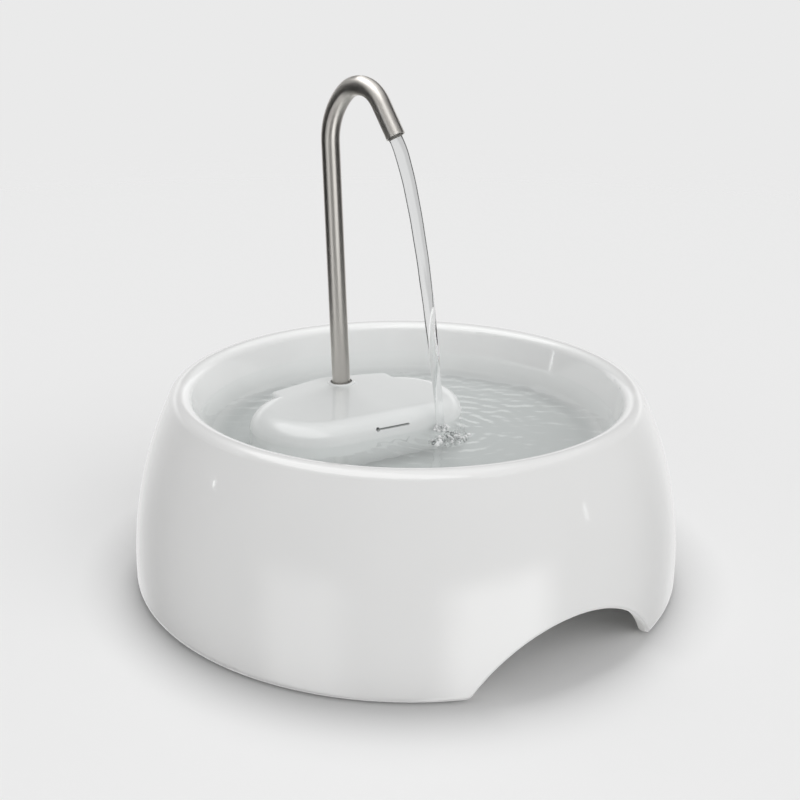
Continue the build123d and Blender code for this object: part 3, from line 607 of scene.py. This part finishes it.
def foam():
    f = new_finish("filter_foam")
    pores = f.node("ShaderNodeTexVoronoi", {}, {"Vector": f.place(), "Scale": 1 / PORE})
    # painted shade: the pores, which lie low in the bump, are darker
    tone = f.blend(pores.ease(0.1, 0.6), (0.015, 0.016, 0.018), (0.09, 0.095, 0.10))
    return f.show(f.principled(Base_Color=tone, Roughness=0.95, Normal=f.bump(pores, PORE_DEPTH)))


def felt():
    f = new_finish("carbon_felt")
    upright = f.grain(FIBRE, 3, f.place((1, 1, 0.15)))
    lying = f.grain(FIBRE, 3, f.place((0.15, 0.15, 1)))
    fibres = upright * lying
    # painted shade: the low places between the fibres are darker
    tone = f.blend(fibres.ease(0.1, 0.4), (0.01, 0.01, 0.01), (0.07, 0.07, 0.072))
    return f.show(f.principled(Base_Color=tone, Roughness=0.9, Normal=f.bump(fibres, FIBRE_DEPTH)))


finishes["filter_foam"] = foam()
finishes["carbon_felt"] = felt()
print("pores of", PORE / MM, "mm, fibres of", FIBRE / MM, "mm")

# %% [markdown]
# ## Windings, laminations and the board
#
# Wire wound on a tooth shows as close parallel ridges, and the stator's sheets as fine lines
# across its edge. Real turns of wire would be heavier than all the rest of the pump, and nobody
# sees them until the housing is opened. So both are a Wave texture that drives a bump and darkens
# the grooves: on the winding that is painted shade between the turns, on the stator the dark joints
# between its sheets. The board is green laminate with a weave under the varnish.

# %% Motor materials
WAVE_PERIOD = 0.314  # of a Wave texture's bands at a scale of 1
WEAVE = 0.5 * MM


def ridged(name, colour, roughness, pitch, depth, axis):
    """A metal with parallel ridges, a pitch apart along one axis of the frame."""
    f = new_finish(name)
    settings = {"wave_type": "BANDS", "bands_direction": axis}
    inputs = {"Vector": f.place(), "Scale": WAVE_PERIOD / pitch, "Distortion": 0.4}
    ridges = f.node("ShaderNodeTexWave", settings, inputs, "Fac")
    # grooves darker: painted shade between a winding's turns, dark joints between the stator's sheets
    tone = f.blend(ridges, [c * 0.55 for c in colour], colour)
    shader = f.principled(
        Base_Color=tone, Metallic=1.0, Roughness=roughness, Normal=f.bump(ridges, depth)
    )
    return f.show(shader)


def laminate():
    f = new_finish("board_laminate")
    weave = f.grain(WEAVE, 1, f.place((1, 1, 2)))
    tone = f.blend(weave, (0.02, 0.10, 0.05), (0.035, 0.17, 0.085))
    return f.show(f.principled(Base_Color=tone, Roughness=0.35, Normal=f.bump(weave, 0.02 * MM)))


finishes["stator_iron"] = ridged("stator_iron", (0.42, 0.43, 0.45), 0.4, 0.5 * MM, 0.05 * MM, "X")
finishes["winding_copper"] = ridged("winding_copper", (0.62, 0.27, 0.10), 0.3, 0.35 * MM, 0.1 * MM, "Z")
finishes["board_laminate"] = laminate()
print("finishes:", len(finishes))

# %% [markdown]
# ## Dress the nodes
#
# Each CAD node keeps its mesh and only gets a material. The record's own table says which node
# has which finish, so a dictionary from finish to material is all that is needed.

# %% Materials by slot
for part in frame["record"]["subparts"]:
    mesh = frame["nodes"][part["node"]].data
    mesh.materials.clear()
    mesh.materials.append(finishes[part["material_slot"]])

# %% [markdown]
# ## Clear water
#
# Water in so thin a layer has no colour. It is all mirror and bent light, which the Principled
# shader's transmission gives with water's index of refraction, 1.333. The cost is light: a ray
# can't be aimed at a lamp through a surface that bends it, so whatever stands in the water would
# turn out dark. Light Path mends that. For a ray on its way to a lamp the water is a Transparent
# shader, which dims it a little and doesn't bend it. The same trouble with the soft light of the
# world is mended further down, on the pool itself.

# %% Clear water
WATER_IOR = 1.333
TREMBLE = 5 * MM  # size and depth of the finest waves, which are a bump only
TREMBLE_DEPTH = 0.05 * MM


def clear_water(name, tint, shade):
    """Water with a tint for what is seen through it, and a shade for the light that it lets by."""
    f = new_finish(name)
    body = f.principled(
        Base_Color=tint,
        Roughness=0.0,
        IOR=WATER_IOR,
        Transmission_Weight=1.0,
        Normal=f.bump(f.grain(TREMBLE, 2), TREMBLE_DEPTH),
    )
    lamp_ray = f.node("ShaderNodeLightPath", output="Is Shadow Ray")
    clear = f.node("ShaderNodeBsdfTransparent", {}, {"Color": opaque(shade)})
    return f.show(f.node("ShaderNodeMixShader", {}, {0: lamp_ray, 1: body, 2: clear}))


jet_water = clear_water("jet_water", (0.975, 0.982, 0.982), (0.9, 0.92, 0.92))
pool_water = clear_water("pool_water", (0.985, 0.995, 0.99), (0.88, 0.90, 0.90))
print("water nodes:", len(pool_water.node_tree.nodes))

# %% [markdown]
# ## Still water
#
# Water in a bowl is a solid block of clear stuff, so it is modelled as a closed body and not as a
# sheet. Its sides and floor reach a little way into the glaze, because a ray that has entered the
# water must meet the ceramic and not a film of air. The top is a round grid. Each point's height
# comes from three things: rings that spread from where the jet lands, a light chop, and the
# meniscus that climbs the wall. A bump alone would be less work, but it leaves the water's edge a
# flat line, and it never reaches the exported mesh.

# %% A closed skin through rows of points
def skin(name, rows):
    """Joins rows of points, each a closed loop, into one mesh and closes its two ends."""
    count = len(rows[0])
    faces = []
    for r in range(len(rows) - 1):
        for i in range(count):
            j = (i + 1) % count
            faces.append((r * count + i, r * count + j, (r + 1) * count + j, (r + 1) * count + i))
    faces.append(tuple(reversed(range(count))))
    faces.append(tuple(range((len(rows) - 1) * count, len(rows) * count)))
    mesh = bpy.data.meshes.new(name)
    mesh.from_pydata([tuple(p) for row in rows for p in row], [], faces)
    outward = bmesh.new()
    outward.from_mesh(mesh)
    bmesh.ops.recalc_face_normals(outward, faces=outward.faces)
    outward.to_mesh(mesh)
    outward.free()
    return mesh


def place_piece(name, mesh, body, finish):
    """Puts a mesh in the scene, shaded smooth, on a body of the frame."""
    mesh.polygons.foreach_set("use_smooth", [True] * len(mesh.polygons))
    mesh.materials.append(finish)
    made = add_object(name, mesh)
    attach(made, body)
    print(name, "rides on", body, "with", len(mesh.polygons), "faces")
    return made


# %% Shape of the surface
BASIN_RADIUS = 93.4 * MM  # of the basin's wall, at its floor
WALL_SLOPE = radians(15.5)
WALL_OVERLAP = 1.2 * MM  # how far the pool reaches into the glaze
MENISCUS = 0.9 * MM
MENISCUS_REACH = 1.3 * MM
JET_LANDS = Vector((16.3, -22.0)) * MM  # where the rings start
RING_LENGTH = 7.5 * MM
RING_HEIGHT = 0.3 * MM
RING_REACH = 20 * MM
RING_WOBBLE = 1.5  # radians by which the rings run ahead or behind
WOBBLE_SIZE = 11 * MM
CHOP = 0.22 * MM
CHOP_SPAN = (13, 8)  # mm along X and Y
CHOP_SLICE = 3 * MM  # height at which the noise is cut
CHOP_NOISE = (1.0, 2.0, 3)  # roughness, step in fineness and number of its layers
CALM = 0.25  # share of the chop that is left far from the jet
CALM_REACH = 45 * MM


def basin_radius(z):
    return BASIN_RADIUS + (z - FLOOR_Z) * tan(WALL_SLOPE) + WALL_OVERLAP


def water_height(x, y, edge):
    """The surface at a place that lies edge metres from the wall."""
    away = hypot(x - JET_LANDS.x, y - JET_LANDS.y)
    wobble = RING_WOBBLE * noise.noise(Vector((x, y, 0)) / WOBBLE_SIZE)
    rings = RING_HEIGHT * exp(-away / RING_REACH) * sin(2 * pi * away / RING_LENGTH + wobble)
    liveliness = CALM + (1 - CALM) * exp(-away / CALM_REACH)
    spot = Vector((x / CHOP_SPAN[0], y / CHOP_SPAN[1], CHOP_SLICE)) / MM
    chop = CHOP * liveliness * noise.fractal(spot, *CHOP_NOISE)
    return WATER_Z + rings + chop + MENISCUS * exp(-edge / MENISCUS_REACH)


print("pool's radius at the top", round(basin_radius(WATER_Z), 4))

# %% [markdown]
# The pool's last setting is the second half of the light trick. Soft light is found by rays that
# leave a matt surface in all directions, and most of what they bring would be lost where the water
# bends them. With `visible_diffuse` off they don't meet the pool at all, and the world's light gets
# down to the basin and to the foot of the hood.

# %% Pool
POOL_RINGS = 78
POOL_STEPS = 480
INNER_RING = 0.4  # the middle is a very small ring, because a loop can't be a point
SIDE_DEPTHS = (4 * MM, 12 * MM)  # of the rows of points down the wall


def pool_rows():
    """From the middle of the top, out to the wall and down it to the floor."""
    turns = [2 * pi * step / POOL_STEPS for step in range(POOL_STEPS)]
    rim = basin_radius(WATER_Z)
    rows = []
    for ring in range(POOL_RINGS + 1):
        radius = rim * (max(ring, INNER_RING) / POOL_RINGS)
        edge = max(rim - radius - WALL_OVERLAP, 0)
        flat = [(radius * cos(turn), radius * sin(turn)) for turn in turns]
        rows.append([(x, y, water_height(x, y, edge)) for x, y in flat])
    for z in (*(WATER_Z - depth for depth in SIDE_DEPTHS), FLOOR_Z - WALL_OVERLAP):
        radius = basin_radius(z)
        rows.append([(radius * cos(turn), radius * sin(turn), z) for turn in turns])
    return rows


pool = place_piece("water_pool", skin("water_pool", pool_rows()), "base", pool_water)
pool.visible_diffuse = False

# %% [markdown]
# ## The jet
#
# Water that leaves a pipe falls along a parabola and speeds up, so it gets thinner on its way
# down. It also leaves the round mouth a little flattened and then twists, which gives the light
# and dark lines along it. The jet is a tube swept down the parabola, with an oval outline that
# turns as it falls. It starts a little way up the spout and ends under the water's surface, so
# that no gap shows at either end.

# %% Path of the jet
MOUTH = Vector((-6.9, -5.8, 213.4)) * MM  # middle of the spout's open end
FLOW = Vector((0.446, -0.311, -0.855)).normalized()  # the way in which the water leaves it
SPEED = 0.387  # metres in a second
GRAVITY = 9.81


def jet_point(seconds):
    drop = Vector((0, 0, -GRAVITY / 2 * seconds**2))
    return MOUTH + FLOW * SPEED * seconds + drop


def jet_velocity(seconds):
    return FLOW * SPEED + Vector((0, 0, -GRAVITY * seconds))


def landing_time(height):
    """Seconds from the mouth down to a height."""
    down = -FLOW.z * SPEED
    return (-down + sqrt(down**2 + 2 * GRAVITY * (MOUTH.z - height))) / GRAVITY


print("jet lands at", [round(v / MM, 1) for v in jet_point(landing_time(WATER_Z))])

# %% Jet
JET_RADIUS = 2.95 * MM
JET_THINS = 0.16  # power of its speed by which the jet gets thinner
JET_IN_SPOUT = 2.5 * MM
JET_IN_POOL = 1.5 * MM
JET_STEPS = 150
JET_SIDES = 48
OVAL = 0.18  # share by which the outline is longer one way and shorter the other
OVAL_AT_MOUTH = 0.3  # share of that at the mouth
OVAL_GROWTH = 4  # and how fast it gets to the whole
JET_FACING = 0.92  # turn of the oval's long axis at the mouth
JET_TWIST = pi / 2
TWIST_FROM = 0.5  # share of the way down
TWIST_TO = 1.05
RIDGES = 0.03  # three ridges along the jet
RIDGE_LEAD = 1.6  # turns of theirs for one of the oval
FINE_RIDGES = 0.01  # five finer ones
FINE_LEAD = 7  # radians that they run back for one of the oval
RIPPLE = 0.012  # waves that run round it
RIPPLE_ANGLE = 46  # radians of them from the mouth to the water
RIPPLE_STRETCH = 1.3  # above 1 they get closer on the way down


def jet_outline(angle, turn, share):
    """The outline's distance from the middle, next to a circle's, at a share of the way down."""
    oval = OVAL * min(1, OVAL_AT_MOUTH + OVAL_GROWTH * share) * cos(2 * (angle - turn))
    ridges = RIDGES * cos(3 * (angle - RIDGE_LEAD * turn)) + FINE_RIDGES * cos(5 * angle + FINE_LEAD * turn)
    ripple = RIPPLE * sin(RIPPLE_ANGLE * share**RIPPLE_STRETCH + angle)
    return 1 + oval + ridges + ripple


def jet_rows():
    start = -JET_IN_SPOUT / SPEED
    end = landing_time(WATER_Z - JET_IN_POOL)
    side = FLOW.cross(Vector((0, 0, 1))).normalized()
    rows = []
    for step in range(JET_STEPS + 1):
        share = step / JET_STEPS
        seconds = start + (end - start) * share
        centre, velocity = jet_point(seconds), jet_velocity(seconds)
        across = velocity.normalized().cross(side)
        radius = JET_RADIUS * (SPEED / max(velocity.length, SPEED)) ** JET_THINS
        late = min(max((share - TWIST_FROM) / (TWIST_TO - TWIST_FROM), 0), 1)
        turn = JET_FACING + JET_TWIST * late * late * (3 - 2 * late)
        row = []
        for i in range(JET_SIDES):
            angle = 2 * pi * i / JET_SIDES
            reach = radius * jet_outline(angle, turn, share)
            row.append(centre + side * reach * cos(angle) + across * reach * sin(angle))
        rows.append(row)
    return rows


place_piece("water_jet", skin("water_jet", jet_rows()), "spout", jet_water)

# %% [markdown]
# ## The splash
#
# Where the jet lands it drags air under, and the air comes back up as a small heap of bubbles and
# drops. Each clear drop is a lens and shows the dark and the pale surroundings side by side, which
# is why the heap sparkles, and the finest bubbles are a milky froth between them. A fluid
# simulation would give this shape at a great cost. Blobs of random place and size, low round the
# foot of the jet and spread out in front of it, look the same at this size. Small noise keeps them
# from being perfect balls, and a fixed seed makes every run the same.

# %% Froth
froth = new_finish("froth")
milky = froth.blend(froth.grain(1.5 * MM), (0.90, 0.91, 0.91), (0.97, 0.975, 0.975))
milk = froth.principled(Base_Color=milky, Roughness=0.12, IOR=WATER_IOR, Transmission_Weight=0.15)
foamy_water = froth.show(milk)
print("froth nodes:", len(foamy_water.node_tree.nodes))

# %% Splash drops and froth
FRONT_HEAP = (Vector((4.4, -13.5, 0)) * MM, 11 * MM, 6.5 * MM)  # middle, half length, half width
FOOT_HEAP = (Vector((0, 0, 0)), 4.5 * MM, 3.2 * MM)
HEAP_TURN = radians(40)
HEAP_HEIGHT = 1.8 * MM
DROPS = (64, 5)  # in the front heap and at the foot
DROP_SIZES = (0.4 * MM, 1.1 * MM)  # smallest radius, and the most that chance adds
DROP_BULGE = 0.25
FROTH = (60, 70)
FROTH_SIZES = (0.35 * MM, 0.85 * MM)

dice = random.Random(7)


def add_drop(heap, place, size):
    made = bmesh.ops.create_icosphere(heap, subdivisions=3, radius=size)
    for vertex in made["verts"]:
        bulge = 1 + DROP_BULGE * noise.noise(vertex.co / size + place / MM)
        vertex.co = vertex.co * bulge + place


def heap_place(centre, half_length, half_width):
    """A random place in an oval heap, and how far out it is."""
    spread = sqrt(dice.random())
    turn = 2 * pi * dice.random()
    along = half_length * spread * cos(turn)
    across = half_width * spread * sin(turn)
    x = centre.x + along * cos(HEAP_TURN) - across * sin(HEAP_TURN)
    y = centre.y + along * sin(HEAP_TURN) + across * cos(HEAP_TURN)
    return Vector((x, y, WATER_Z)), spread


def heap_mesh(name, counts, smallest, more):
    """Drops in the heap in front of the jet and at its foot, a count for each."""
    foot = jet_point(landing_time(WATER_Z))
    heap = bmesh.new()
    for count, (middle, half_length, half_width) in zip(counts, (FRONT_HEAP, FOOT_HEAP)):
        for _ in range(count):
            place, spread = heap_place(foot + middle, half_length, half_width)
            place.z += HEAP_HEIGHT * dice.random() * (1 - spread**2)
            add_drop(heap, place, smallest + more * dice.random() ** 2)
    mesh = bpy.data.meshes.new(name)
    heap.to_mesh(mesh)
    heap.free()
    return mesh


drops_mesh = heap_mesh("splash_drops", DROPS, *DROP_SIZES)
froth_mesh = heap_mesh("splash_froth", FROTH, *FROTH_SIZES)
place_piece("splash_drops", drops_mesh, "spout", jet_water)
place_piece("splash_froth", froth_mesh, "spout", foamy_water)
